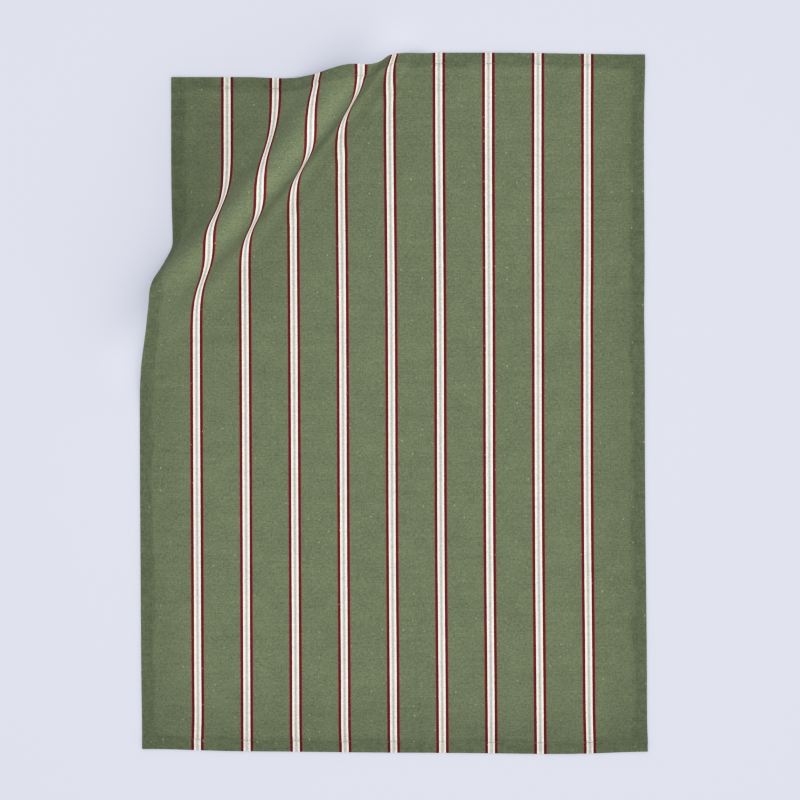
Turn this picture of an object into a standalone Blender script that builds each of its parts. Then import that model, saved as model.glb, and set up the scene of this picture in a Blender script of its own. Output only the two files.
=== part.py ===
"""A hemmed tea towel laid out flat, one corner pushed in so that a soft ridge stands across it.

Metres, +Z up. The towel's length runs along Y and the ridge crosses its -X, +Y corner. The underside
lies on z = 0, and the origin is under the middle of the outline.

The cloth is worked out in its own flat measures, u across and v along, both from its middle. Each
point of the flat cloth is then laid where the cloth carries it: a little askew at the edges, and up
and over the ridge without stretching.
"""

import math
from collections import namedtuple

import bmesh
import bpy
import numpy as np

# The flat cloth and its hems.
TOWEL_WIDTH = 0.505
TOWEL_LENGTH = 0.700
CLOTH_THICKNESS = 0.0012
HEM_THICKNESS = 0.0019
SIDE_HEM_WIDTH = 0.0123
END_HEM_WIDTH = 0.0108
HEM_STEP_WIDTH = 0.0014

# The ridge runs along this bearing, counted from +X. "Beyond" is the distance from the middle of the
# towel towards the pushed corner, square to the ridge, and "along" is the distance up the ridge.
RIDGE_BEARING = math.radians(50.0)
ALONG_RIDGE = (math.cos(RIDGE_BEARING), math.sin(RIDGE_BEARING))
BEYOND_RIDGE = (-math.sin(RIDGE_BEARING), math.cos(RIDGE_BEARING))

# How far the corner has been pushed in, across and along the towel.
CORNER_PUSH = (0.0316, -0.0244)

# The ridge has two faces, a near one that climbs from the open cloth and a far one that comes down to
# the corner. Each row is a place along the ridge: how far beyond the middle each face is steepest,
# how steep it gets in degrees, and how much length the near face takes up.
RidgeRow = namedtuple("RidgeRow", "along near_beyond near_steep near_take_up far_beyond far_steep")
RIDGE_ROWS = (
    RidgeRow(-0.050, 0.234, 61.0, 0.0180, 0.291, 76.0),
    RidgeRow(0.100, 0.230, 81.0, 0.0234, 0.288, 59.0),
    RidgeRow(0.250, 0.236, 80.0, 0.0260, 0.303, 48.0),
)
RIDGE_START = -0.090
RIDGE_END = 0.290
BEND_STEPS = 24

# Where the laid cloth is a little out of square: each row moves the cloth around a point (u, v), out
# to about the two reaches, by a small shift.
PullRow = namedtuple("PullRow", "u v reach_u reach_v shift_u shift_v")
PULL_ROWS = (
    PullRow(0.000, 0.330, 0.150, 0.170, -0.0020, 0.0),
    PullRow(0.250, -0.380, 0.600, 0.190, 0.0024, 0.0),
    PullRow(-0.252, -0.350, 0.070, 0.060, 0.0009, 0.0036),
    PullRow(0.252, -0.350, 0.060, 0.060, -0.0003, 0.0022),
    PullRow(-0.130, -0.350, 0.090, 0.090, 0.0, 0.0012),
    PullRow(0.190, -0.350, 0.090, 0.090, 0.0, -0.0016),
    PullRow(0.250, 0.350, 0.090, 0.090, 0.0, -0.0018),
    PullRow(0.252, 0.270, 0.050, 0.090, -0.0009, 0.0),
)

# Spacing of the mesh lines: close across the ridge, wide on the open cloth.
RIDGE_BAND = (0.190, 0.346)
RIDGE_LINE_SPACING = 0.0026
CROSS_LINE_SPACING = 0.016
OPEN_LINE_SPACING = 0.045
SLIVER = 0.0003

CLOTH_COLOUR = (0.165, 0.200, 0.112, 1.0)
CLOTH_ROUGHNESS = 0.9


def clear_scene():
    """Remove every object that the scene holds."""
    for item in list(bpy.data.objects):
        bpy.data.objects.remove(item, do_unlink=True)


def along_the_rows(column, along):
    """Value and slope of one column of the ridge rows, on a smooth curve through the rows."""
    stations = [row.along for row in RIDGE_ROWS]
    curve = np.polyfit(stations, [getattr(row, column) for row in RIDGE_ROWS], 2)
    kept = np.clip(along, RIDGE_START, RIDGE_END)
    return np.polyval(curve, kept), np.polyval(np.polyder(curve), kept)


def bend(place, steepest):
    """Length taken up and height gained on one face, for a face that is 1 long on each side of its middle.

    place runs from -1, the foot of the face, to 1, its top. The slope grows smoothly from nothing at
    both ends to the steepest angle in the middle.
    """
    place = np.clip(place, -1.0, 1.0)
    share = (np.arange(BEND_STEPS) + 0.5) / BEND_STEPS
    points = -1.0 + (place[:, None] + 1.0) * share
    angle = steepest[:, None] * np.cos(0.5 * math.pi * points) ** 2
    step = (place + 1.0) / BEND_STEPS
    taken_up = np.sum(1.0 - np.cos(angle), axis=1) * step
    gained = np.sum(np.sin(angle), axis=1) * step
    return taken_up, gained


def face_of_ridge(name, beyond, along):
    """Steepest angle, distance beyond the steepest line, and the way square to the line."""
    line, line_slope = along_the_rows(name + "_beyond", along)
    steepest = np.radians(along_the_rows(name + "_steep", along)[0])
    lean = 1.0 / np.hypot(1.0, line_slope)
    inward = -np.stack([
        (BEYOND_RIDGE[0] - line_slope * ALONG_RIDGE[0]) * lean,
        (BEYOND_RIDGE[1] - line_slope * ALONG_RIDGE[1]) * lean,
    ], axis=1)
    return steepest, (beyond - line) * lean, inward


def over_the_ridge(u, v):
    """Shift in x and y, and height, of each flat point as the cloth goes over the ridge."""
    beyond = u * BEYOND_RIDGE[0] + v * BEYOND_RIDGE[1]
    along = u * ALONG_RIDGE[0] + v * ALONG_RIDGE[1]
    full = np.ones_like(u)

    steep, distance, inward = face_of_ridge("near", beyond, along)
    near_take_up = along_the_rows("near_take_up", along)[0]
    whole_take_up, whole_gain = bend(full, steep)
    half_run = near_take_up / whole_take_up
    taken_up, gained = bend(distance / half_run, steep)
    near_shift = inward * (taken_up * half_run)[:, None]
    near_height = gained * half_run
    crest = whole_gain * half_run

    left_over = np.array(CORNER_PUSH) - inward * near_take_up[:, None]
    steep, distance, inward = face_of_ridge("far", beyond, along)
    whole_take_up, whole_gain = bend(full, steep)
    half_run = np.linalg.norm(left_over, axis=1) / whole_take_up
    taken_up, gained = bend(distance / half_run, steep)
    far_shift = left_over * (taken_up / whole_take_up)[:, None]
    height = near_height - crest * gained / whole_gain
    return near_shift + far_shift, np.maximum(height, 0.0)


def pulled(u, v):
    """Shift in x and y of each flat point where the cloth lies a little out of square."""
    shift = np.zeros((len(u), 2))
    for row in PULL_ROWS:
        share = np.exp(-((u - row.u) / row.reach_u) ** 2 - ((v - row.v) / row.reach_v) ** 2)
        shift += share[:, None] * np.array([row.shift_u, row.shift_v])
    return shift


def laid(flat):
    """Places of flat cloth points, given as rows of u and v."""
    u, v = flat[:, 0], flat[:, 1]
    shift, height = over_the_ridge(u, v)
    return np.column_stack([flat + shift + pulled(u, v), height])


def hem_share(flat):
    """1 on the hems, 0 on the single cloth, with a short slope between them."""
    from_side = 0.5 * TOWEL_WIDTH - np.abs(flat[:, 0]) - SIDE_HEM_WIDTH
    from_end = 0.5 * TOWEL_LENGTH - np.abs(flat[:, 1]) - END_HEM_WIDTH
    return np.clip(1.0 - np.minimum(from_side, from_end) / HEM_STEP_WIDTH, 0.0, 1.0)


def score(sheet, point, square_to):
    """Cut a mesh line across the whole sheet."""
    everything = sheet.verts[:] + sheet.edges[:] + sheet.faces[:]
    bmesh.ops.bisect_plane(sheet, geom=everything, plane_co=point, plane_no=square_to)


def score_hems(sheet):
    """Lines at both sides of each hem's step."""
    for width in (0.0, HEM_STEP_WIDTH):
        side = 0.5 * TOWEL_WIDTH - SIDE_HEM_WIDTH - width
        end = 0.5 * TOWEL_LENGTH - END_HEM_WIDTH - width
        for way in (-1.0, 1.0):
            score(sheet, (way * side, 0.0, 0.0), (1.0, 0.0, 0.0))
            score(sheet, (0.0, way * end, 0.0), (0.0, 1.0, 0.0))


def score_ridge(sheet):
    """Lines along the ridge, close together on its band, and lines across it."""
    reach = 0.5 * math.hypot(TOWEL_WIDTH, TOWEL_LENGTH)
    near, far = RIDGE_BAND
    beyond = list(np.arange(near, far, RIDGE_LINE_SPACING))
    beyond += list(np.arange(near - OPEN_LINE_SPACING, -reach, -OPEN_LINE_SPACING))
    beyond += list(np.arange(far + 0.5 * OPEN_LINE_SPACING, reach, OPEN_LINE_SPACING))
    along = list(np.arange(RIDGE_START, RIDGE_END, CROSS_LINE_SPACING))
    along += list(np.arange(RIDGE_START - OPEN_LINE_SPACING, -reach, -OPEN_LINE_SPACING))
    along += list(np.arange(RIDGE_END + OPEN_LINE_SPACING, reach, OPEN_LINE_SPACING))
    for distances, way in ((beyond, BEYOND_RIDGE), (along, ALONG_RIDGE)):
        for distance in distances:
            score(sheet, (distance * way[0], distance * way[1], 0.0), (way[0], way[1], 0.0))


def make_towel():
    """The towel: a flat sheet with its lines scored, laid over the ridge and given its thickness."""
    sheet = bmesh.new()
    bmesh.ops.create_grid(sheet, x_segments=1, y_segments=1, size=0.5)
    bmesh.ops.scale(sheet, vec=(TOWEL_WIDTH, TOWEL_LENGTH, 1.0), verts=sheet.verts)
    score_hems(sheet)
    score_ridge(sheet)
    bmesh.ops.remove_doubles(sheet, verts=sheet.verts, dist=SLIVER)
    flat = np.array([vert.co.xy for vert in sheet.verts])
    places = laid(flat)
    middle = 0.5 * (places.min(axis=0) + places.max(axis=0))
    places[:, :2] -= middle[:2]
    for vert, place in zip(sheet.verts, places):
        vert.co = place
    bmesh.ops.recalc_face_normals(sheet, faces=sheet.faces)
    if sum(face.normal.z for face in sheet.faces) < 0.0:
        bmesh.ops.reverse_faces(sheet, faces=sheet.faces)

    mesh = bpy.data.meshes.new("towel")
    sheet.to_mesh(mesh)
    sheet.free()
    towel = bpy.data.objects.new("towel", mesh)
    bpy.context.scene.collection.objects.link(towel)
    hems = towel.vertex_groups.new(name="hems")
    for index, share in enumerate(hem_share(flat)):
        hems.add([index], float(share), "REPLACE")
    mesh.materials.append(cloth_material())
    mesh.shade_smooth()

    thickness = towel.modifiers.new("thickness", "SOLIDIFY")
    thickness.thickness = HEM_THICKNESS
    thickness.offset = 1.0
    thickness.vertex_group = "hems"
    thickness.thickness_vertex_group = CLOTH_THICKNESS / HEM_THICKNESS
    return towel


def cloth_material():
    """Matt green cotton."""
    material = bpy.data.materials.new("cotton")
    material.use_nodes = True
    shader = material.node_tree.nodes["Principled BSDF"]
    shader.inputs["Base Color"].default_value = CLOTH_COLOUR
    shader.inputs["Roughness"].default_value = CLOTH_ROUGHNESS
    shader.inputs["Metallic"].default_value = 0.0
    return material


clear_scene()
make_towel()
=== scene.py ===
"""A striped cotton tea towel, laid out flat with one corner pushed in.

Metres, +Z up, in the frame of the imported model. The towel is made flat, with its hems turned and sewn,
in the cloth's own measures: u across, v along, both from its middle, and w up from its underside. It is
then laid, so that each point goes where the cloth carries it: a little askew at the edges, and up and
over the ridge without stretching.
"""

from __future__ import annotations

import logging
import math
from dataclasses import dataclass, field
from enum import Enum
from typing import Iterable, NamedTuple, Sequence

import bmesh
import bpy
import numpy as np
from mathutils import Matrix, Vector


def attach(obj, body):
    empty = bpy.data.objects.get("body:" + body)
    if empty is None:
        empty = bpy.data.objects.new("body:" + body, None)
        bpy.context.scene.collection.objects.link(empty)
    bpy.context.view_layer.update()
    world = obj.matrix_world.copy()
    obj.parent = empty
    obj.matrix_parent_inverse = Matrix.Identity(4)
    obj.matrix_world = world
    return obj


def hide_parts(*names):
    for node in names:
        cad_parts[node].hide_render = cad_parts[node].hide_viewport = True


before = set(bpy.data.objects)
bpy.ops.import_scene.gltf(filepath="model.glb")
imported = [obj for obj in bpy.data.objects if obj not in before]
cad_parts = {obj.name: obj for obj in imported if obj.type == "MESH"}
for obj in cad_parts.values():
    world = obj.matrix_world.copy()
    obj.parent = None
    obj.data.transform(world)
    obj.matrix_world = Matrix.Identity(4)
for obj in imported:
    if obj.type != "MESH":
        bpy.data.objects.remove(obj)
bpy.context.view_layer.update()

LOG = logging.getLogger("tea_towel")
Colour = tuple[float, float, float]


# ---------------------------------------------------------------- how the cloth lies


class Measure(Enum):
    """One of the flat cloth's two measures, by its place in a row of u and v."""

    ACROSS = 0
    ALONG = 1


class RidgeStation(NamedTuple):
    """One place along the ridge: where its two faces are steepest, and how steep."""

    along: float
    near_beyond: float
    near_steep: float
    near_take_up: float
    far_beyond: float
    far_steep: float


class Pull(NamedTuple):
    """A place (u, v) around which the laid cloth is shifted a little out of square."""

    u: float
    v: float
    reach_u: float
    reach_v: float
    shift_u: float
    shift_v: float


class Swell(NamedTuple):
    """A long soft rise of the cloth off the surface, with its crest on a line through (u, v).

    It falls away over the near width on the right of its bearing, and over the far width on the left.
    """

    u: float
    v: float
    bearing: float
    half_length: float
    near_width: float
    far_width: float
    height: float


def smooth_step(value: np.ndarray) -> np.ndarray:
    """Ease from 0 to 1 as a value goes from 0 to 1."""
    value = np.clip(value, 0.0, 1.0)
    return value * value * (3.0 - 2.0 * value)


@dataclass(frozen=True)
class Ridge:
    """The soft ridge that stands up where one corner has been pushed in.

    "Beyond" is the distance from the towel's middle towards the pushed corner, square to the ridge, and
    "along" is the distance up the ridge.
    """

    bearing: float = math.radians(50.0)
    corner_push: tuple[float, float] = (0.0316, -0.0244)
    start: float = -0.090
    end: float = 0.290
    bend_steps: int = 32
    crease: float = 6.0
    crease_from: float = 0.040
    crease_full: float = -0.051
    stations: tuple[RidgeStation, ...] = (
        RidgeStation(-0.050, 0.2329, 59.1, 0.0181, 0.2863, 71.0),
        RidgeStation(0.100, 0.230, 81.0, 0.0234, 0.288, 59.0),
        RidgeStation(0.250, 0.236, 80.0, 0.0260, 0.303, 48.0),
    )

    @property
    def way_along(self) -> np.ndarray:
        """Unit vector up the ridge, in u and v."""
        return np.array([math.cos(self.bearing), math.sin(self.bearing)])

    @property
    def way_beyond(self) -> np.ndarray:
        """Unit vector square to the ridge, towards the pushed corner."""
        return np.array([-math.sin(self.bearing), math.cos(self.bearing)])

    def column(self, name: str, along: np.ndarray) -> tuple[np.ndarray, np.ndarray]:
        """Read one column of the stations on a smooth curve.

        Args:
            name: Field of RidgeStation.
            along: Distances up the ridge.

        Returns:
            The column's value and its slope at each distance.
        """
        places = [station.along for station in self.stations]
        curve = np.polyfit(places, [getattr(station, name) for station in self.stations], 2)
        kept = np.clip(along, self.start, self.end)
        return np.polyval(curve, kept), np.polyval(np.polyder(curve), kept)

    def bend(self, place: np.ndarray, steepest: np.ndarray, keen: np.ndarray) -> tuple[np.ndarray, ...]:
        """Follow the cloth over one face, of a face that is 1 long on each side of its middle.

        Args:
            place: From -1 to 1 across the face, towards the pushed corner.
            steepest: Slope at the middle of the face, in radians.
            keen: 1 where the face ends in a soft curve at place 1, and more the sharper it ends there.

        Returns:
            The length taken up and the height gained.
        """
        place = np.clip(place, -1.0, 1.0)
        share = (np.arange(self.bend_steps) + 0.5) / self.bend_steps
        points = -1.0 + (place[:, None] + 1.0) * share
        points = np.where(points > 0.0, np.abs(points) ** keen[:, None], points)
        angle = steepest[:, None] * np.cos(0.5 * math.pi * points) ** 2
        step = (place + 1.0) / self.bend_steps
        return np.sum(1.0 - np.cos(angle), axis=1) * step, np.sum(np.sin(angle), axis=1) * step

    def face(self, name: str, beyond: np.ndarray, along: np.ndarray) -> tuple[np.ndarray, ...]:
        """Place points against the steepest line of one face.

        Args:
            name: "near" or "far".
            beyond: Distances square to the ridge.
            along: Distances up the ridge.

        Returns:
            The steepest angle, the distance past the steepest line and the way back square to it.
        """
        line, line_slope = self.column(name + "_beyond", along)
        steepest = np.radians(self.column(name + "_steep", along)[0])
        lean = 1.0 / np.hypot(1.0, line_slope)
        up, out = self.way_along, self.way_beyond
        inward = -(out[None, :] - line_slope[:, None] * up[None, :]) * lean[:, None]
        return steepest, (beyond - line) * lean, inward

    def carry(self, flat: np.ndarray) -> tuple[np.ndarray, np.ndarray]:
        """Take flat cloth over the ridge.

        Args:
            flat: Rows of u and v.

        Returns:
            The shift of each point in x and y, and its height.
        """
        beyond, along = flat @ self.way_beyond, flat @ self.way_along
        full = np.ones(len(flat))
        creased = smooth_step((self.crease_from - along) / (self.crease_from - self.crease_full))
        keen = self.crease**creased

        steep, distance, inward = self.face("near", beyond, along)
        near_take_up = self.column("near_take_up", along)[0]
        whole_take_up, whole_gain = self.bend(full, steep, full)
        half_run = near_take_up / whole_take_up
        taken_up, gained = self.bend(distance / half_run, steep, full)
        near_shift = inward * (taken_up * half_run)[:, None]
        near_height, crest = gained * half_run, whole_gain * half_run

        left_over = np.array(self.corner_push) - inward * near_take_up[:, None]
        steep, distance, inward = self.face("far", beyond, along)
        whole_take_up, whole_gain = self.bend(full, steep, keen)
        half_run = np.linalg.norm(left_over, axis=1) / whole_take_up
        taken_up, gained = self.bend(distance / half_run, steep, keen)
        far_shift = left_over * (taken_up / whole_take_up)[:, None]
        return near_shift + far_shift, np.maximum(near_height - crest * gained / whole_gain, 0.0)


@dataclass(frozen=True)
class Lie:
    """How the flat towel lies on the surface: its ridge, its pulled edges and its slight swells."""

    width: float
    length: float
    ridge: Ridge = Ridge()
    outline_step: float = 0.001
    feel: float = 0.0002
    pulls: tuple[Pull, ...] = (
        Pull(0.000, 0.330, 0.150, 0.170, -0.0020, 0.0),
        Pull(0.250, -0.380, 0.600, 0.190, 0.0024, 0.0),
        Pull(-0.252, -0.350, 0.070, 0.060, 0.0009, 0.0036),
        Pull(0.252, -0.350, 0.060, 0.060, -0.0003, 0.0022),
        Pull(-0.130, -0.350, 0.090, 0.090, 0.0, 0.0012),
        Pull(0.190, -0.350, 0.090, 0.090, 0.0, -0.0016),
        Pull(0.250, 0.350, 0.090, 0.090, 0.0, -0.0018),
        Pull(0.252, 0.270, 0.050, 0.090, -0.0009, 0.0),
        Pull(-0.252, 0.176, 0.060, 0.046, 0.0014, 0.0),
        Pull(-0.170, -0.150, 0.170, 0.240, 0.0012, 0.0),
        Pull(0.252, -0.220, 0.060, 0.120, 0.0006, 0.0),
        Pull(0.195, 0.220, 0.030, 0.140, 0.0007, 0.0),
        Pull(0.252, 0.090, 0.050, 0.030, -0.0006, 0.0),
        Pull(0.252, 0.335, 0.050, 0.030, 0.0008, 0.0),
        Pull(-0.106, 0.350, 0.025, 0.030, 0.0, -0.0025),
        Pull(-0.252, -0.060, 0.050, 0.150, -0.0006, 0.0),
        Pull(0.130, 0.330, 0.110, 0.110, 0.0006, 0.0),
        Pull(-0.200, -0.345, 0.030, 0.020, -0.0008, 0.0),
        Pull(-0.070, -0.349, 0.070, 0.014, 0.0007, 0.0),
        Pull(0.190, -0.345, 0.030, 0.025, 0.0008, 0.0),
        Pull(-0.252, 0.146, 0.030, 0.024, 0.0013, 0.0),
        Pull(0.0228, 0.350, 0.014, 0.020, 0.0, -0.0011),
        Pull(-0.010, 0.350, 0.010, 0.020, 0.0, 0.0009),
        Pull(-0.145, 0.350, 0.018, 0.020, 0.0, -0.0010),
        Pull(-0.112, 0.350, 0.011, 0.020, 0.0, 0.0011),
        Pull(-0.078, 0.350, 0.012, 0.020, 0.0, -0.0008),
        Pull(-0.045, 0.350, 0.009, 0.020, 0.0, -0.0010),
        Pull(0.252, -0.345, 0.014, 0.020, 0.0008, 0.0),
    )
    swells: tuple[Swell, ...] = (
        Swell(-0.044, 0.257, 52.3, 0.095, 0.0066, 0.016, 0.0074),
        Swell(0.019, 0.341, 54.0, 0.055, 0.0066, 0.011, 0.0060),
        Swell(-0.200, 0.075, 62.0, 0.045, 0.010, 0.010, 0.0010),
        Swell(0.120, 0.230, 96.0, 0.150, 0.035, 0.035, 0.0010),
        Swell(-0.060, -0.060, 71.0, 0.190, 0.045, 0.045, 0.0012),
        Swell(0.150, -0.120, 102.0, 0.160, 0.038, 0.038, 0.0010),
        Swell(-0.150, -0.230, 84.0, 0.120, 0.036, 0.036, 0.0009),
    )
    middle: np.ndarray = field(init=False, compare=False)

    def __post_init__(self) -> None:
        """Find the middle of the laid outline, which is the frame's origin."""
        object.__setattr__(self, "middle", np.zeros(2))
        half_u, half_v = 0.5 * self.width, 0.5 * self.length
        across = np.arange(-half_u, half_u + self.outline_step, self.outline_step).clip(-half_u, half_u)
        up = np.arange(-half_v, half_v + self.outline_step, self.outline_step).clip(-half_v, half_v)
        edges = [np.column_stack([across, np.full_like(across, side)]) for side in (-half_v, half_v)]
        edges += [np.column_stack([np.full_like(up, side), up]) for side in (-half_u, half_u)]
        outline = self.place(np.vstack(edges))
        middle = 0.5 * (outline.min(axis=0) + outline.max(axis=0))[:2]
        object.__setattr__(self, "middle", middle)

    def pulled(self, flat: np.ndarray) -> np.ndarray:
        """Shift in x and y of each flat point where the cloth lies a little out of square."""
        shift = np.zeros((len(flat), 2))
        for pull in self.pulls:
            away = ((flat[:, 0] - pull.u) / pull.reach_u) ** 2 + ((flat[:, 1] - pull.v) / pull.reach_v) ** 2
            shift += np.exp(-away)[:, None] * np.array([pull.shift_u, pull.shift_v])
        return shift

    def lifted(self, flat: np.ndarray) -> np.ndarray:
        """Height of the slight swells under each flat point."""
        height = np.zeros(len(flat))
        for swell in self.swells:
            away = flat - np.array([swell.u, swell.v])
            turn = math.radians(swell.bearing)
            along = away @ np.array([math.cos(turn), math.sin(turn)])
            aside = away @ np.array([-math.sin(turn), math.cos(turn)])
            width = np.where(aside < 0.0, swell.near_width, swell.far_width)
            height += swell.height * np.exp(-((along / swell.half_length) ** 2) - (aside / width) ** 2)
        return height

    def place(self, flat: np.ndarray) -> np.ndarray:
        """Lay points of the cloth's underside.

        Args:
            flat: Rows of u and v.

        Returns:
            Rows of x, y and z.
        """
        shift, height = self.ridge.carry(flat)
        height = height + self.lifted(flat)
        return np.column_stack([flat + shift + self.pulled(flat) - self.middle, height])

    def carry(self, points: np.ndarray) -> np.ndarray:
        """Lay points of the flat towel, each with its own height above the underside.

        Args:
            points: Rows of u, v and w.

        Returns:
            Rows of x, y and z.
        """
        flat = points[:, :2]
        across, up = np.array([self.feel, 0.0]), np.array([0.0, self.feel])
        face = np.cross(
            self.place(flat + across) - self.place(flat - across),
            self.place(flat + up) - self.place(flat - up),
        )
        face /= np.linalg.norm(face, axis=1)[:, None]
        return self.place(flat) + face * points[:, 2:3]


# ---------------------------------------------------------------- shader nodes


class Graph:
    """Writes nodes into one shader tree."""

    def __init__(self, tree: bpy.types.NodeTree) -> None:
        """Keep the tree that the nodes go into."""
        self.tree = tree

    def node(self, kind: str, inputs: dict | None = None, **settings: object) -> bpy.types.Node:
        """Add a node.

        Args:
            kind: Node type without the ShaderNode prefix.
            inputs: Values or sockets by input name or number.
            **settings: Properties of the node itself.

        Returns:
            The new node.
        """
        node = self.tree.nodes.new("ShaderNode" + kind)
        for name, value in settings.items():
            setattr(node, name, value)
        for name, value in (inputs or {}).items():
            self.feed(node.inputs[name], value)
        return node

    def feed(self, socket: bpy.types.NodeSocket, value: object) -> None:
        """Link a socket, or set a plain value, on an input."""
        if isinstance(value, bpy.types.NodeSocket):
            self.tree.links.new(value, socket)
        else:
            socket.default_value = value

    def math(self, operation: str, *values: object, clamp: bool = False) -> bpy.types.NodeSocket:
        """Work out one number from numbers or sockets.

        Args:
            operation: Name of the Math node's operation.
            *values: Up to three numbers or sockets.
            clamp: Whether to keep the result between 0 and 1.

        Returns:
            The output socket.
        """
        node = self.node("Math", dict(enumerate(values)), operation=operation, use_clamp=clamp)
        return node.outputs[0]

    def span(self, value: object, low: float, high: float, start: float, end: float) -> bpy.types.NodeSocket:
        """Carry a value smoothly from one range into another.

        Args:
            value: The number or socket.
            low: Input that gives start.
            high: Input that gives end.
            start: Output at low and below.
            end: Output at high and above.

        Returns:
            The output socket.
        """
        inputs = {0: value, 1: low, 2: high, 3: start, 4: end}
        return self.node("MapRange", inputs, interpolation_type="SMOOTHSTEP").outputs[0]

    def stretched(self, vector: object, size: Sequence[float]) -> bpy.types.NodeSocket:
        """Divide a place by a size in metres along each axis, so that a noise gets cells of that size."""
        scale = tuple(1.0 / extent for extent in size)
        node = self.node("VectorMath", {0: vector, 1: scale}, operation="MULTIPLY")
        return node.outputs[0]

    def noise(self, vector: object, size: Sequence[float], detail: float = 0.0) -> bpy.types.NodeSocket:
        """Noise around 0, from about -0.5 to 0.5.

        Args:
            vector: Place on the cloth, in metres.
            size: Size of the noise's cells along u and v.
            detail: How many finer octaves it has.

        Returns:
            The output socket.
        """
        place = self.stretched(vector, (*size, 1.0))
        inputs = {"Vector": place, "Scale": 1.0, "Detail": detail, "Roughness": 0.6}
        return self.math("SUBTRACT", self.node("TexNoise", inputs).outputs[0], 0.5)


def shader_group(name: str, inputs: dict[str, str], outputs: dict[str, str]) -> tuple:
    """Start a shader node group.

    Args:
        name: Name of the group.
        inputs: Socket types by input name.
        outputs: Socket types by output name.

    Returns:
        The group's tree, its writer, its input node and its output node.
    """
    tree = bpy.data.node_groups.new(name, "ShaderNodeTree")
    for way, sockets in (("INPUT", inputs), ("OUTPUT", outputs)):
        for label, kind in sockets.items():
            tree.interface.new_socket(label, in_out=way, socket_type=kind)
    graph = Graph(tree)
    return tree, graph, tree.nodes.new("NodeGroupInput"), tree.nodes.new("NodeGroupOutput")


@dataclass(frozen=True)
class CottonFibre:
    """Uneven cotton: how yarn varies in tone and in thickness, on the cloth and on the thread."""

    name: str = "cotton fibre"

    def tree(self) -> bpy.types.NodeTree:
        """Build the group once, or find it.

        Returns:
            The group's tree. Size is the width of a tuft, and Tone is a factor around 1.
        """
        if self.name in bpy.data.node_groups:
            return bpy.data.node_groups[self.name]
        tree, graph, given, out = shader_group(
            self.name,
            {"Place": "NodeSocketVector", "Size": "NodeSocketFloat", "Variation": "NodeSocketFloat"},
            {"Tone": "NodeSocketFloat", "Height": "NodeSocketFloat"},
        )
        cell = graph.math("DIVIDE", 1.0, given.outputs["Size"])
        inputs = {"Vector": given.outputs["Place"], "Scale": cell, "Detail": 2.0, "Roughness": 0.65}
        tuft = graph.math("SUBTRACT", graph.node("TexNoise", inputs).outputs[0], 0.5)
        tone = graph.math("MULTIPLY_ADD", tuft, given.outputs["Variation"], 1.0)
        graph.feed(out.inputs["Tone"], tone)
        graph.feed(out.inputs["Height"], graph.math("ADD", tuft, 0.5))
        return tree


# ---------------------------------------------------------------- finishes


@dataclass(frozen=True)
class Stripes:
    """The lengthwise stripes, each of red, white, pale, white and red warp yarn."""

    count: int = 9
    first: float = -0.1963
    pitch: float = 0.048875
    grey_to: float = 0.00045
    pale_at: float = 0.00120
    white_from: float = 0.00225
    white_to: float = 0.00332
    red_to: float = 0.00602
    fringe_to: float = 0.00635
    fringe_end: float = 0.00780
    rough: float = 0.00050
    hem_blur: float = 0.8
    ramp_reach: float = 1.5


class Streaks(NamedTuple):
    """One kind of unevenness in the yarns: the size of its cells, its finer octaves and its strength."""

    size: tuple[float, float]
    detail: float
    amount: float


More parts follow.
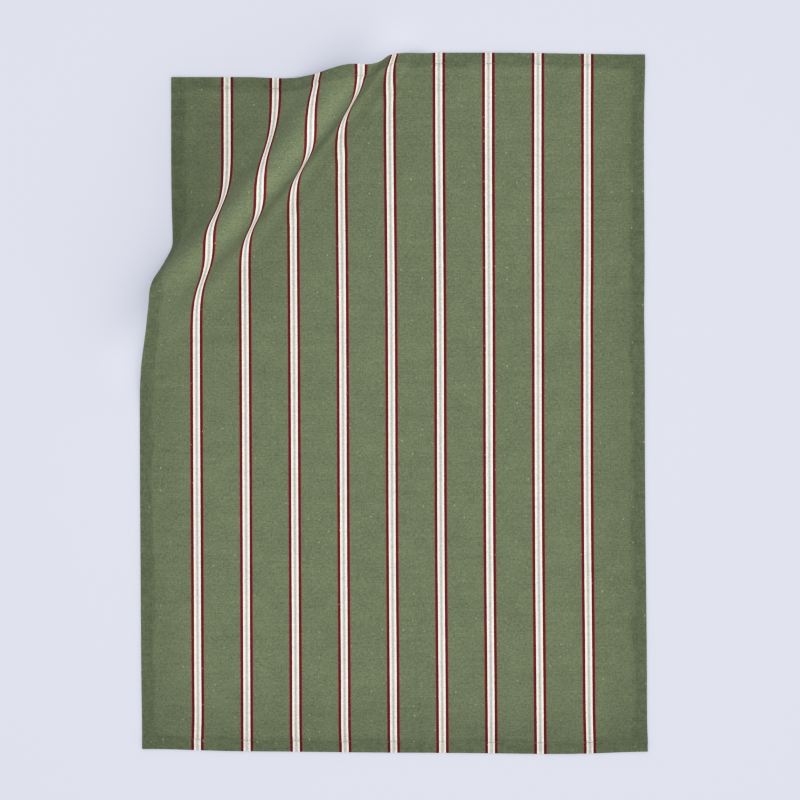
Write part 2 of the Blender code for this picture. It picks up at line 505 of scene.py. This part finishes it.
@dataclass(frozen=True)
class StripedCotton:
    """Plain-weave cotton with the stripes, slubs, neps and darker hems of the towel."""

    ground: Colour = (0.1666, 0.1903, 0.1283)
    red: Colour = (0.1340, 0.0215, 0.0245)
    fringe: Colour = (0.2150, 0.1600, 0.1250)
    white: Colour = (1.000, 0.890, 0.795)
    pale: Colour = (0.570, 0.590, 0.525)
    grey: Colour = (0.400, 0.408, 0.372)
    nep: Colour = (0.46, 0.45, 0.36)
    stripes: Stripes = Stripes()
    yarn_pitch: float = 0.0007
    hem_tone: float = 0.84
    worn: float = 1.08
    worn_reach: float = 0.0030
    heather: float = 0.20
    # painted shade: the cloth's colour is darkened within side_reach of the side hems
    painted_side_shade: float = 0.93
    side_reach: float = 0.050
    # painted shade: the cloth's colour is darkened over end_reach towards the bottom end
    painted_end_shade: float = 0.90
    end_reach: float = 0.070
    roughness: float = 0.90
    sheen: float = 0.03
    sheen_roughness: float = 0.5
    specular: float = 0.1
    relief: float = 0.0003
    relief_strength: float = 0.5
    relief_share: float = 0.6
    crossing_tone: float = 0.05
    tuft: float = 0.0019
    tuft_variation: float = 0.66
    hem_mottle: float = 0.34
    hem_mottle_cell: tuple[float, float] = (0.006, 0.006)
    sway: float = 0.00024
    sway_cell: float = 0.006
    heather_cell: tuple[float, float] = (0.0024, 0.0019)
    hem_wander: float = 0.014
    hem_wander_cell: tuple[float, float] = (0.035, 0.035)
    side_soft: tuple[float, float] = (0.0018, 0.0030)
    end_soft: tuple[float, float] = (0.0014, 0.0038)
    nep_cell: tuple[float, float] = (0.0105, 0.0125)
    nep_rag_cell: tuple[float, float] = (0.0011, 0.0008)
    streaks: tuple[Streaks, ...] = (
        Streaks((0.0009, 0.0040), 1.0, 0.34),
        Streaks((0.0042, 0.0011), 1.0, 0.38),
        Streaks((0.0009, 0.050), 1.0, 0.10),
        Streaks((0.060, 0.0011), 1.0, 0.18),
        Streaks((0.160, 0.0060), 2.0, 0.12),
        Streaks((0.0130, 0.0110), 2.0, 0.18),
        Streaks((0.0360, 0.0320), 1.0, 0.16),
    )

    def dress(self, cloth: bpy.types.Object, shape: FlatTowel) -> None:
        """Give the cloth its material.

        Args:
            cloth: The piece, with its flat measures in the UV map named cloth.
            shape: Sizes of the flat towel.
        """
        material = bpy.data.materials.new("striped cotton")
        material.use_nodes = True
        graph = Graph(material.node_tree)
        shader = material.node_tree.nodes["Principled BSDF"]

        place = graph.node("UVMap", uv_map="cloth").outputs[0]
        place = self.uneven(graph, place)
        parts = graph.node("SeparateXYZ", {0: place})
        u = graph.math("SUBTRACT", parts.outputs[0], 0.5 * shape.width)
        v = graph.math("SUBTRACT", parts.outputs[1], 0.5 * shape.length)

        tone, rise = self.woven(graph, place, u, v)
        from_side = graph.math("SUBTRACT", 0.5 * shape.width, graph.math("ABSOLUTE", u))
        from_end = graph.math("SUBTRACT", 0.5 * shape.length, graph.math("ABSOLUTE", v))
        side_hem, end_hem = self.hem_masks(graph, place, from_side, from_end, shape)
        hem = graph.math("MAXIMUM", side_hem, end_hem)
        mottle = graph.noise(place, self.hem_mottle_cell, 2.0)
        uneven_hem = graph.math("MULTIPLY_ADD", mottle, self.hem_mottle, self.hem_tone - 1.0)
        tone = graph.math("MULTIPLY", tone, graph.math("MULTIPLY_ADD", hem, uneven_hem, 1.0))
        inset = graph.math("MINIMUM", from_side, from_end)
        tone = graph.math("MULTIPLY", tone, graph.span(inset, 0.0, self.worn_reach, self.worn, 1.0))
        # painted shade: darker colour towards the side hems
        side = graph.span(from_side, shape.side_hem, shape.side_hem + self.side_reach, self.painted_side_shade, 1.0)
        # painted shade: darker colour towards the bottom end, half as deep on the hem
        bottom = graph.math("ADD", v, 0.5 * shape.length)
        end = graph.span(bottom, shape.end_hem, shape.end_hem + self.end_reach, self.painted_end_shade, 1.0)
        half_hem, lighter = graph.math("MULTIPLY", hem, 0.5), graph.math("SUBTRACT", 1.0, end)
        end = graph.math("MULTIPLY_ADD", half_hem, lighter, end)
        tone = graph.math("MULTIPLY", tone, graph.math("MULTIPLY", side, end))
        colour = self.striped(graph, u, end_hem)
        colour = graph.node("VectorMath", {0: colour, "Scale": tone}, operation="SCALE").outputs[0]
        colour = self.flecked(graph, place, self.heathered(graph, place, colour))

        graph.feed(shader.inputs["Base Color"], colour)
        graph.feed(shader.inputs["Roughness"], self.roughness)
        graph.feed(shader.inputs["Sheen Weight"], self.sheen)
        graph.feed(shader.inputs["Sheen Roughness"], self.sheen_roughness)
        graph.feed(shader.inputs["Specular IOR Level"], self.specular)
        bump = graph.node("Bump", {"Strength": self.relief_strength, "Distance": self.relief, "Height": rise})
        graph.feed(shader.inputs["Normal"], bump.outputs[0])
        cloth.data.materials.append(material)

    def uneven(self, graph: Graph, place: bpy.types.NodeSocket) -> bpy.types.NodeSocket:
        """Let the yarns wander a little off their straight lines."""
        at = graph.stretched(place, (self.sway_cell, self.sway_cell, 1.0))
        sway = graph.node("TexNoise", {"Vector": at, "Scale": 1.0, "Detail": 2.0}).outputs[1]
        sway = graph.node("VectorMath", {0: sway, 1: (0.5, 0.5, 0.5)}, operation="SUBTRACT").outputs[0]
        sway = graph.node("VectorMath", {0: sway, "Scale": self.sway}, operation="SCALE").outputs[0]
        return graph.node("VectorMath", {0: place, 1: sway}, operation="ADD").outputs[0]

    def striped(self, graph: Graph, u: object, turned: object) -> bpy.types.NodeSocket:
        """Colour the warp by its distance from the nearest stripe's middle.

        Args:
            graph: Writer of the material's nodes.
            u: Distance across from the middle.
            turned: 1 on the end hems, where the cloth behind blurs the stripe's grey middle.

        Returns:
            The colour.
        """
        stripes = self.stripes
        count = graph.math("DIVIDE", graph.math("SUBTRACT", u, stripes.first), stripes.pitch)
        nearest = graph.math("MAXIMUM", graph.math("ROUND", count), 0.0)
        nearest = graph.math("MINIMUM", nearest, stripes.count - 1.0)
        away = graph.math("ABSOLUTE", graph.math("SUBTRACT", count, nearest))
        away = graph.math("MULTIPLY", away, stripes.pitch)
        away = graph.math("MAXIMUM", away, graph.math("MULTIPLY", turned, stripes.hem_blur * stripes.pale_at))
        reach = stripes.ramp_reach * stripes.fringe_end
        ramp = graph.node("ValToRGB", {0: graph.math("DIVIDE", away, reach)})
        half = 0.5 * stripes.rough
        stops = (
            (stripes.grey_to, self.grey),
            (stripes.pale_at, self.pale),
            (stripes.white_from, self.white),
            (stripes.white_to - half, self.white),
            (stripes.white_to + half, self.red),
            (stripes.red_to - half, self.red),
            (stripes.red_to + half, self.fringe),
            (stripes.fringe_to, self.fringe),
            (stripes.fringe_end, self.ground),
        )
        elements = ramp.color_ramp.elements
        elements[0].color, elements[1].color = (*self.grey, 1.0), (*self.ground, 1.0)
        for place, colour in stops:
            elements.new(place / reach).color = (*colour, 1.0)
        return ramp.outputs[0]

    def woven(self, graph: Graph, place: object, u: object, v: object) -> tuple:
        """Tone and relief of the plain weave, its slubs and streaks.

        Args:
            graph: Writer of the material's nodes.
            place: Place on the cloth, in metres.
            u: Distance across from the middle.
            v: Distance along from the middle.

        Returns:
            The tone, a factor around 1, and the height of the yarns from 0 to 1.
        """
        turn = math.pi / self.yarn_pitch
        warp = graph.math("SINE", graph.math("MULTIPLY", u, turn))
        weft = graph.math("SINE", graph.math("MULTIPLY", v, turn))
        crossing = graph.math("MULTIPLY", warp, weft)
        crown = graph.math("POWER", graph.math("ABSOLUTE", crossing), 0.5)

        fibre = graph.node("Group", node_tree=CottonFibre().tree())
        graph.feed(fibre.inputs["Place"], place)
        graph.feed(fibre.inputs["Size"], self.tuft)
        graph.feed(fibre.inputs["Variation"], self.tuft_variation)
        tone = fibre.outputs["Tone"]
        for size, detail, amount in self.streaks:
            tone = graph.math("ADD", tone, graph.math("MULTIPLY", graph.noise(place, size, detail), amount))
        tone = graph.math("ADD", tone, graph.math("MULTIPLY", crossing, self.crossing_tone))
        fuzz = graph.math("MULTIPLY", fibre.outputs["Height"], self.relief_share)
        rise = graph.math("ADD", graph.math("MULTIPLY", crown, self.relief_share), fuzz)
        return tone, rise

    def hem_masks(
        self, graph: Graph, place: object, from_side: object, from_end: object, shape: FlatTowel
    ) -> list[bpy.types.NodeSocket]:
        """Tell the turned hems from the single cloth.

        Args:
            graph: Writer of the material's nodes.
            place: Place on the cloth, in metres.
            from_side: Distance from the nearest side edge.
            from_end: Distance from the nearest end edge.
            shape: Sizes of the flat towel.

        Returns:
            A mask of the side hems and a mask of the end hems, 1 on the hem.
        """
        wander = graph.math("MULTIPLY", graph.noise(place, self.hem_wander_cell, 1.0), self.hem_wander)
        masks = []
        for inset, hem, (within, beyond) in (
            (from_side, shape.side_hem, self.side_soft),
            (from_end, shape.end_hem, self.end_soft),
        ):
            masks.append(graph.span(graph.math("ADD", inset, wander), hem - within, hem + beyond, 1.0, 0.0))
        return masks

    def heathered(self, graph: Graph, place: object, colour: object) -> bpy.types.NodeSocket:
        """Let the yarns differ a little in hue."""
        at = graph.stretched(place, (*self.heather_cell, 1.0))
        hue = graph.node("TexNoise", {"Vector": at, "Scale": 1.0, "Detail": 1.5}).outputs[1]
        hue = graph.node("VectorMath", {0: hue, 1: (0.5, 0.5, 0.5)}, operation="SUBTRACT").outputs[0]
        hue = graph.node("VectorMath", {0: hue, "Scale": self.heather}, operation="SCALE").outputs[0]
        hue = graph.node("VectorMath", {0: hue, 1: (1.0, 1.0, 1.0)}, operation="ADD").outputs[0]
        return graph.node("VectorMath", {0: colour, 1: hue}, operation="MULTIPLY").outputs[0]

    def flecked(self, graph: Graph, place: object, colour: object) -> bpy.types.NodeSocket:
        """Strew the small cream neps of uneven cotton over a colour."""
        inputs = {"Vector": graph.stretched(place, (*self.nep_cell, 1.0)), "Scale": 1.0}
        cells = graph.node("TexVoronoi", inputs, voronoi_dimensions="2D")
        spread = graph.node("SeparateColor", {0: cells.outputs["Color"]})
        size = graph.span(spread.outputs[0], 0.35, 1.0, 0.0, 0.075)
        ragged = graph.math("MULTIPLY_ADD", graph.noise(place, self.nep_rag_cell, 1.0), 1.6, 1.0)
        near = graph.math("SUBTRACT", size, graph.math("MULTIPLY", cells.outputs["Distance"], ragged))
        mask = graph.math("MULTIPLY", near, 24.0, clamp=True)
        mask = graph.math("MULTIPLY", mask, graph.span(spread.outputs[1], 0.0, 1.0, 0.10, 0.62))
        mix = graph.node("Mix", {"Factor": mask}, data_type="RGBA")
        graph.feed(mix.inputs[6], colour)
        graph.feed(mix.inputs[7], (*self.nep, 1.0))
        return mix.outputs[2]


@dataclass(frozen=True)
class SewingThread:
    """Green sewing cotton, of the same shade as the hems."""

    colour: Colour = (0.142, 0.162, 0.110)
    roughness: float = 0.75
    tuft: float = 0.0008
    tuft_variation: float = 0.5
    sheen: float = 0.1
    relief: float = 0.0001
    relief_strength: float = 0.4

    def dress(self, piece: bpy.types.Object) -> None:
        """Give the stitches their material."""
        material = bpy.data.materials.new("sewing thread")
        material.use_nodes = True
        graph = Graph(material.node_tree)
        shader = material.node_tree.nodes["Principled BSDF"]
        place = graph.node("TexCoord").outputs["Object"]
        fibre = graph.node("Group", node_tree=CottonFibre().tree())
        graph.feed(fibre.inputs["Place"], place)
        graph.feed(fibre.inputs["Size"], self.tuft)
        graph.feed(fibre.inputs["Variation"], self.tuft_variation)
        tinted = graph.node("VectorMath", {0: self.colour, "Scale": fibre.outputs["Tone"]}, operation="SCALE")
        graph.feed(shader.inputs["Base Color"], tinted.outputs[0])
        graph.feed(shader.inputs["Roughness"], self.roughness)
        graph.feed(shader.inputs["Sheen Weight"], self.sheen)
        bump = graph.node("Bump", {"Strength": self.relief_strength, "Distance": self.relief})
        graph.feed(bump.inputs["Height"], fibre.outputs["Height"])
        graph.feed(shader.inputs["Normal"], bump.outputs[0])
        piece.data.materials.append(material)


# ---------------------------------------------------------------- the towel


def new_piece(name: str, mesh_data: bmesh.types.BMesh) -> bpy.types.Object:
    """Put a finished bmesh into the scene.

    Args:
        name: Name of the piece.
        mesh_data: The bmesh, which is freed.

    Returns:
        The new object, at the origin.
    """
    mesh = bpy.data.meshes.new(name)
    mesh_data.to_mesh(mesh)
    mesh_data.free()
    mesh.shade_smooth()
    piece = bpy.data.objects.new(name, mesh)
    bpy.context.scene.collection.objects.link(piece)
    return piece


@dataclass(frozen=True)
class FlatTowel:
    """The towel as it was sewn, before it was laid: one cloth with turned hems on its four sides."""

    width: float = 0.505
    length: float = 0.700
    cloth: float = 0.0006
    side_hem: float = 0.0123
    end_hem: float = 0.0118
    hem: float = 0.0016
    corner: float = 0.0006
    hem_step: float = 0.0030
    seam_inset: float = 0.0007
    seam_depth: float = 0.00012
    seam_half: float = 0.0009
    edge_lines: tuple[float, ...] = (0.00008, 0.00026, 0.00060)
    groove_lines: tuple[float, ...] = (-1.6, -0.7, 0.0, 0.7)
    step_lines: tuple[float, ...] = (0.33, 0.67, 1.0)

    def insets(self, flat: np.ndarray) -> tuple[np.ndarray, np.ndarray]:
        """Distance of each point from the nearest side edge and from the nearest end edge."""
        return 0.5 * self.width - np.abs(flat[:, 0]), 0.5 * self.length - np.abs(flat[:, 1])

    def thickness(self, flat: np.ndarray) -> np.ndarray:
        """Thickness of the sewn towel at each point, edges not yet rounded."""
        from_side, from_end = self.insets(flat)
        side = 1.0 - smooth_step((from_side - self.side_hem) / self.hem_step)
        end = 1.0 - smooth_step((from_end - self.end_hem) / self.hem_step)
        thick = self.cloth + (self.hem - self.cloth) * np.maximum(side, end) + self.corner * side * end
        for inset, hem, other in ((from_side, self.side_hem, from_end), (from_end, self.end_hem, from_side)):
            seam = hem - self.seam_inset
            groove = np.exp(-(((inset - seam) / self.seam_half) ** 2)) * smooth_step(other / self.hem)
            thick = thick - self.seam_depth * groove
        return thick

    def upper(self, flat: np.ndarray) -> np.ndarray:
        """Height of the upper face, with its edges rounded."""
        thick = self.thickness(flat)
        inset = np.minimum(*self.insets(flat))
        reach = 0.5 * self.hem
        fall = 1.0 - np.sqrt(1.0 - (1.0 - np.clip(inset / reach, 0.0, 1.0)) ** 2)
        return thick - 0.5 * thick * fall

    def lower(self, flat: np.ndarray) -> np.ndarray:
        """Height of the lower face, with its edges rounded."""
        thick = self.thickness(flat)
        inset = np.minimum(*self.insets(flat))
        reach = 0.5 * self.hem
        rise = 1.0 - np.sqrt(1.0 - (1.0 - np.clip(inset / reach, 0.0, 1.0)) ** 2)
        return 0.5 * thick * rise

    def hem_lines(self) -> Iterable[tuple[float, Measure]]:
        """Insets of the mesh lines that the edge, the seam and the step of each hem need."""
        for hem, measure in ((self.side_hem, Measure.ACROSS), (self.end_hem, Measure.ALONG)):
            seam = hem - self.seam_inset
            lines = [*self.edge_lines, 0.5 * self.hem]
            lines += [seam + share * self.seam_half for share in self.groove_lines]
            lines += [hem + share * self.hem_step for share in self.step_lines]
            for inset in lines:
                yield inset, measure

    def half(self, measure: Measure) -> float:
        """Half the towel's size in one measure."""
        return 0.5 * (self.width, self.length)[measure.value]


@dataclass
class Towel:
    """The cloth of the towel, which stands for the CAD node of that name."""

    shape: FlatTowel = field(default_factory=FlatTowel)
    finish: StripedCotton = field(default_factory=StripedCotton)
    ridge_band: tuple[float, float] = (0.180, 0.350)
    ridge_spacing: float = 0.0015
    cross_spacing: float = 0.0055
    open_spacing: float = 0.0080
    sliver: float = 0.00006

    def grid_lines(self, ridge: Ridge) -> tuple[np.ndarray, np.ndarray]:
        """Places of the mesh lines along the ridge and across it."""
        reach = 0.5 * math.hypot(self.shape.width, self.shape.length) + self.open_spacing
        near, far = self.ridge_band
        count = math.ceil((near + reach) / self.open_spacing)
        beyond = [np.linspace(-reach, near, count, endpoint=False)]
        beyond += [np.arange(near, far, self.ridge_spacing)]
        beyond += [np.arange(far, reach + self.open_spacing, self.open_spacing)]
        along = [np.arange(-reach, ridge.start, self.open_spacing)]
        along += [np.arange(ridge.start, ridge.end, self.cross_spacing)]
        along += [np.arange(ridge.end, reach + self.open_spacing, self.open_spacing)]
        return np.concatenate(along), np.concatenate(beyond)

    def flat_sheet(self, ridge: Ridge) -> bmesh.types.BMesh:
        """Make the flat sheet: a grid turned to the ridge, trimmed to the cloth and scored at the hems."""
        along, beyond = self.grid_lines(ridge)
        sheet = bmesh.new()
        columns, rows = len(along) - 1, len(beyond) - 1
        bmesh.ops.create_grid(sheet, x_segments=columns, y_segments=rows, size=0.5)
        up, out = ridge.way_along, ridge.way_beyond
        for vert in sheet.verts:
            column, row = round((vert.co.x + 0.5) * columns), round((vert.co.y + 0.5) * rows)
            place = along[column] * up + beyond[row] * out
            vert.co = (place[0], place[1], 0.0)
        for way in (-1.0, 1.0):
            for measure in Measure:
                self.score(sheet, measure, way * self.shape.half(measure), way, trim=True)
            for inset, measure in self.shape.hem_lines():
                self.score(sheet, measure, way * (self.shape.half(measure) - inset), way)
        bmesh.ops.remove_doubles(sheet, verts=sheet.verts, dist=self.sliver)
        return sheet

    @staticmethod
    def score(
        sheet: bmesh.types.BMesh, measure: Measure, place: float, way: float, trim: bool = False
    ) -> None:
        """Cut a mesh line across the whole sheet.

        Args:
            sheet: The flat sheet.
            measure: Which measure is the same all along the line.
            place: Where the line lies.
            way: Which side counts as outside, -1 or 1.
            trim: Whether what lies outside is cut off.
        """
        point, square_to = Vector(), Vector()
        point[measure.value], square_to[measure.value] = place, way
        everything = sheet.verts[:] + sheet.edges[:] + sheet.faces[:]
        bmesh.ops.bisect_plane(
            sheet, geom=everything, dist=1e-7, plane_co=point, plane_no=square_to, clear_outer=trim
        )

    def thicken(self, sheet: bmesh.types.BMesh) -> None:
        """Close the sheet into a thin solid whose faces meet in a rounded edge."""
        rim = sheet.verts.layers.int.new("rim")
        for vert in sheet.verts:
            vert[rim] = vert.is_boundary
        made = bmesh.ops.extrude_face_region(sheet, geom=sheet.faces[:], use_keep_orig=True)
        raised = {item for item in made["geom"] if isinstance(item, bmesh.types.BMVert)}
        flat = np.array([vert.co.xy for vert in sheet.verts])
        upper, lower = self.shape.upper(flat), self.shape.lower(flat)
        for index, vert in enumerate(sheet.verts):
            top, bottom = upper[index], lower[index]
            vert.co.z = 0.5 * (top + bottom) if vert[rim] else top if vert in raised else bottom
        bmesh.ops.remove_doubles(sheet, verts=[vert for vert in sheet.verts if vert[rim]], dist=1e-7)
        bmesh.ops.recalc_face_normals(sheet, faces=sheet.faces)
        if sheet.calc_volume(signed=True) < 0.0:
            bmesh.ops.reverse_faces(sheet, faces=sheet.faces)

    def build(self, lie: Lie) -> bpy.types.Object:
        """Make the cloth, lay it and dress it.

        Args:
            lie: How the towel lies.

        Returns:
            The finished piece.
        """
        sheet = self.flat_sheet(lie.ridge)
        self.thicken(sheet)
        uv = sheet.loops.layers.uv.new("cloth")
        corner = Vector((0.5 * self.shape.width, 0.5 * self.shape.length))
        for face in sheet.faces:
            for loop in face.loops:
                loop[uv].uv = loop.vert.co.xy + corner
        places = lie.carry(np.array([vert.co for vert in sheet.verts]))
        for vert, place in zip(sheet.verts, places):
            vert.co = place
        cloth = new_piece("towel_cloth", sheet)
        self.finish.dress(cloth, self.shape)
        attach(cloth, "root")
        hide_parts("towel")
        return cloth


@dataclass
class Sewing:
    """The lockstitch that holds the four hems."""

    shape: FlatTowel = field(default_factory=FlatTowel)
    finish: SewingThread = field(default_factory=SewingThread)
    pitch: float = 0.0030
    gap: float = 0.0004
    edge_gap: float = 0.002
    thread: float = 0.00058
    proud: float = 0.50
    digits: int = 7

    def rows(self) -> Iterable[tuple[float, float, Measure]]:
        """Place of each stitch and the measure that its row runs in."""
        shape = self.shape
        half_u, half_v = shape.half(Measure.ACROSS), shape.half(Measure.ALONG)
        seam_u = half_u - shape.side_hem + shape.seam_inset
        seam_v = half_v - shape.end_hem + shape.seam_inset
        for seam, half, run_in in ((seam_v, half_u, Measure.ACROSS), (seam_u, half_v, Measure.ALONG)):
            count = int(2.0 * (half - self.edge_gap) / self.pitch)
            for way in (-1.0, 1.0):
                for index in range(count):
                    run = (index - 0.5 * (count - 1)) * self.pitch
                    u, v = (run, way * seam) if run_in is Measure.ACROSS else (way * seam, run)
                    yield u, v, run_in

    def one_stitch(self) -> bpy.types.Mesh:
        """Make one stitch along u, ends down.

        Its vertices and faces are put in a fixed order, because create_uvsphere's own differs between runs.
        """
        sphere = bmesh.new()
        half_run, half_thread = 0.5 * (self.pitch - self.gap), 0.5 * self.thread
        size = Matrix.Diagonal((half_run, half_thread, half_thread, 1.0))
        lift = Matrix.Translation((0.0, 0.0, (2.0 * self.proud - 1.0) * half_thread))
        bmesh.ops.create_uvsphere(
            sphere,
            u_segments=8,
            v_segments=6,
            radius=1.0,
            matrix=lift @ size @ Matrix.Rotation(0.5 * math.pi, 4, "Y"),
        )
        by_place = sorted(sphere.verts, key=lambda vert: [round(part, self.digits) for part in vert.co])
        rank = {vert: number for number, vert in enumerate(by_place)}
        rings = [[rank[loop.vert] for loop in face.loops] for face in sphere.faces]
        starts = [ring.index(min(ring)) for ring in rings]
        stitch = bmesh.new()
        verts = [stitch.verts.new(vert.co) for vert in by_place]
        for ring in sorted(ring[start:] + ring[:start] for ring, start in zip(rings, starts)):
            stitch.faces.new([verts[number] for number in ring])
        sphere.free()
        mesh = bpy.data.meshes.new("one stitch")
        stitch.to_mesh(mesh)
        stitch.free()
        return mesh

    def copied_stitch(self, count: int) -> bmesh.types.BMesh:
        """Copy one stitch in place.

        Args:
            count: How many stitches there are to be.

        Returns:
            A bmesh whose vertices come stitch by stitch.
        """
        mesh = self.one_stitch()
        stitches = bmesh.new()
        for _ in range(count):
            stitches.from_mesh(mesh, face_normals=False, vertex_normals=False)
        bpy.data.meshes.remove(mesh)
        return stitches

    def build(self, lie: Lie) -> bpy.types.Object:
        """Make the stitches, lay them with the cloth and dress them.

        Args:
            lie: How the towel lies.

        Returns:
            The finished piece.
        """
        places = list(self.rows())
        stitches = self.copied_stitch(len(places))
        verts = stitches.verts[:]
        form = np.array([vert.co for vert in verts]).reshape(len(places), -1, 3)
        flat = np.array([place[:2] for place in places])
        across = np.array([place[2] is Measure.ACROSS for place in places])[:, None]
        points = np.empty_like(form)
        points[..., 0] = flat[:, :1] + np.where(across, form[..., 0], -form[..., 1])
        points[..., 1] = flat[:, 1:] + np.where(across, form[..., 1], form[..., 0])
        points[..., 2] = self.shape.upper(flat)[:, None] + form[..., 2]
        for vert, place in zip(verts, lie.carry(points.reshape(-1, 3))):
            vert.co = place
        piece = new_piece("hem_stitches", stitches)
        self.finish.dress(piece)
        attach(piece, "root")
        return piece


# ---------------------------------------------------------------- the studio


class Softbox(NamedTuple):
    """One soft light: its place, what it faces, its roll, its sides, its power and its beam's spread."""

    name: str
    place: tuple[float, float, float]
    aim: tuple[float, float, float]
    roll: float
    size: tuple[float, float]
    watts: float
    spread: float


@dataclass
class Studio:
    """The pale surface, the soft lights, the net, the camera overhead and the picture's tone."""

    surface_colour: Colour = (0.632, 0.652, 0.788)
    surface_half: float = 6.0
    surface_drop: float = 0.0001
    surface_roughness: float = 0.95
    surface_specular: float = 0.1
    sky_colour: Colour = (1.0, 1.0, 1.0)
    sky_strength: float = 0.88
    camera_height: float = 3.0
    camera_over: tuple[float, float] = (0.0078, 0.0027)
    sensor: float = 36.0
    lens: float = 135.0
    lights: tuple[Softbox, ...] = (
        Softbox("overhead", (0.0, 0.06, 2.1), (0.0, 0.06, 0.0), 0.0, (1.2, 1.2), 1.0, 70.0),
        Softbox("window", (1.948, -1.364, 0.772), (0.0, 0.0, 0.0), 0.0, (1.2, 0.6), 3.0, 180.0),
        Softbox(
            "strip over the ridge", (-0.1305, 0.2005, 0.7), (-0.1305, 0.2005, 0.0),
            50.0, (0.44, 0.02), 0.0096, 6.0,
        ),
    )
    net_height: float = 0.055
    net_corners: tuple[tuple[float, float], ...] = (
        (-0.231, 0.318),
        (-0.231, 0.146),
        (-0.180, 0.204),
        (-0.112, 0.290),
        (-0.112, 0.318),
    )
    net_passes: float = 0.83
    tone: tuple[tuple[float, float], ...] = (
        (0.0, 0.0),
        (0.02, 0.0128),
        (0.04, 0.0262),
        (0.08, 0.0584),
        (0.12, 0.1038),
        (0.18, 0.1887),
        (0.25, 0.3052),
        (0.35, 0.4561),
        (0.50, 0.6334),
        (0.65, 0.7670),
        (0.85, 0.9004),
        (1.0, 0.9743),
    )

    def build(self, lie: Lie) -> None:
        """Set up the surface, the lights, the camera and the tone."""
        self.add_surface()
        self.add_net(lie)
        self.add_sky()
        for light in self.lights:
            self.add_light(light)
        self.add_camera(lie)
        self.set_tone()

    def add_surface(self) -> None:
        """Lay the plain pale surface."""
        plane = bmesh.new()
        bmesh.ops.create_grid(plane, x_segments=1, y_segments=1, size=self.surface_half)
        bmesh.ops.translate(plane, vec=(0.0, 0.0, -self.surface_drop), verts=plane.verts)
        surface = new_piece("pale_surface", plane)
        material = bpy.data.materials.new("pale surface")
        material.use_nodes = True
        shader = material.node_tree.nodes["Principled BSDF"]
        shader.inputs["Base Color"].default_value = (*self.surface_colour, 1.0)
        shader.inputs["Roughness"].default_value = self.surface_roughness
        shader.inputs["Specular IOR Level"].default_value = self.surface_specular
        surface.data.materials.append(material)

    def add_net(self, lie: Lie) -> None:
        """Hang a fine net over the pushed corner, which takes some of its light and isn't seen."""
        sheet = bmesh.new()
        places = np.array(self.net_corners) - lie.middle
        sheet.faces.new([sheet.verts.new((*place, self.net_height)) for place in places])
        net = new_piece("net_over_corner", sheet)
        material = bpy.data.materials.new("net")
        material.use_nodes = True
        tree = material.node_tree
        tree.nodes.clear()
        graph = Graph(tree)
        fine = graph.node("BsdfTransparent", {"Color": (*[self.net_passes] * 3, 1.0)})
        graph.feed(graph.node("OutputMaterial").inputs["Surface"], fine.outputs[0])
        net.data.materials.append(material)
        net.visible_camera = False

    def add_sky(self) -> None:
        """Fill the room with even light."""
        world = bpy.data.worlds.new("room")
        world.use_nodes = True
        sky = world.node_tree.nodes["Background"]
        sky.inputs["Color"].default_value = (*self.sky_colour, 1.0)
        sky.inputs["Strength"].default_value = self.sky_strength
        bpy.context.scene.world = world

    def add_light(self, box: Softbox) -> None:
        """Stand one softbox in its place."""
        data = bpy.data.lights.new(box.name, "AREA")
        data.shape = "RECTANGLE"
        data.size, data.size_y = box.size
        data.energy = box.watts
        data.spread = math.radians(box.spread)
        light = bpy.data.objects.new(box.name, data)
        light.location = box.place
        facing = (Vector(box.aim) - Vector(box.place)).to_track_quat("-Z", "Y").to_matrix()
        light.rotation_euler = (facing @ Matrix.Rotation(math.radians(box.roll), 3, "Z")).to_euler()
        light.visible_camera = False
        bpy.context.scene.collection.objects.link(light)

    def add_camera(self, lie: Lie) -> None:
        """Hang the camera over the towel, looking straight down."""
        data = bpy.data.cameras.new("camera")
        data.sensor_width = self.sensor
        data.lens = self.lens
        camera = bpy.data.objects.new("camera", data)
        over = np.array(self.camera_over) - lie.middle
        camera.location = (over[0], over[1], self.camera_height)
        bpy.context.scene.collection.objects.link(camera)
        bpy.context.scene.camera = camera

    def set_tone(self) -> None:
        """Give the picture the photo's firm contrast in the greens and soft shoulder in the whites."""
        view = bpy.context.scene.view_settings
        view.view_transform = "Standard"
        view.look = "None"
        view.exposure = 0.0
        view.gamma = 1.0
        view.use_curve_mapping = True
        mapping = view.curve_mapping
        curve = mapping.curves[3]
        curve.points[0].location = self.tone[0]
        curve.points[1].location = self.tone[-1]
        for level in self.tone[1:-1]:
            curve.points.new(*level)
        mapping.update()


def main() -> None:
    """Build the towel and its sewing in the studio."""
    logging.basicConfig(level=logging.INFO, format="%(name)s: %(message)s")
    towel = Towel()
    lie = Lie(towel.shape.width, towel.shape.length)
    cloth = towel.build(lie)
    LOG.info("%s: %d faces", cloth.name, len(cloth.data.polygons))
    stitches = Sewing(towel.shape).build(lie)
    LOG.info("%s: %d faces", stitches.name, len(stitches.data.polygons))
    Studio().build(lie)
    LOG.info("studio ready, middle of the laid outline at %s", np.round(lie.middle, 5))


if __name__ == "__main__":
    main()
